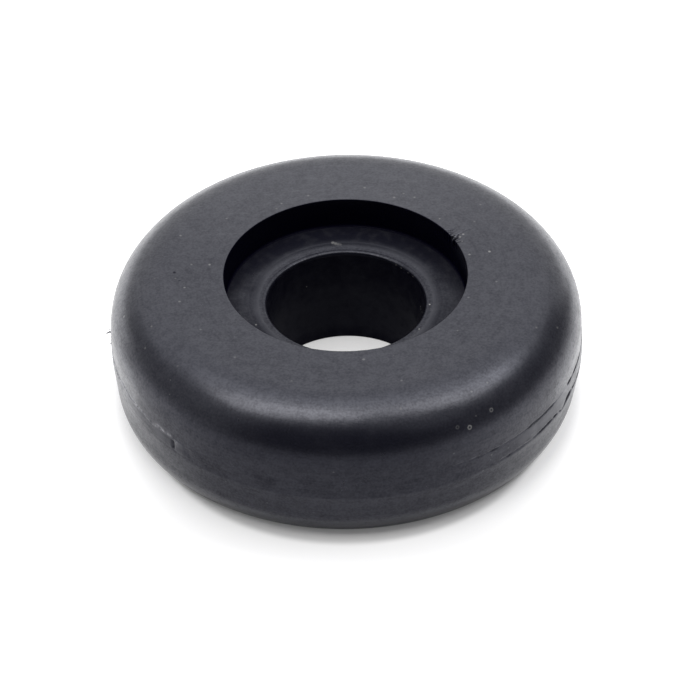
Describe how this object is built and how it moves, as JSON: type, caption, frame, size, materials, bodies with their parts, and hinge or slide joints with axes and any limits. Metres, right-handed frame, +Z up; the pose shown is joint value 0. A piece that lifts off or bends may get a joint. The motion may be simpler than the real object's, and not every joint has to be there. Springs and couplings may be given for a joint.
{
  "type": "sway bar bushing",
  "caption": "Squat moulded rubber ring bushing with a wide rounded shoulder, a counterbored seat in its top face and a plain through bore for a sway bar end link.",
  "frame": {"origin": "centre of the bore on the flat base", "axes": "+Z up the bore, towards the counterbored top face"},
  "size_m": [0.0382, 0.0382, 0.0117],
  "materials": {
    "rubber": "satin black, as moulded"
  },
  "bodies": {
    "root": {"bushing": "rubber"}
  },
  "joints": []
}
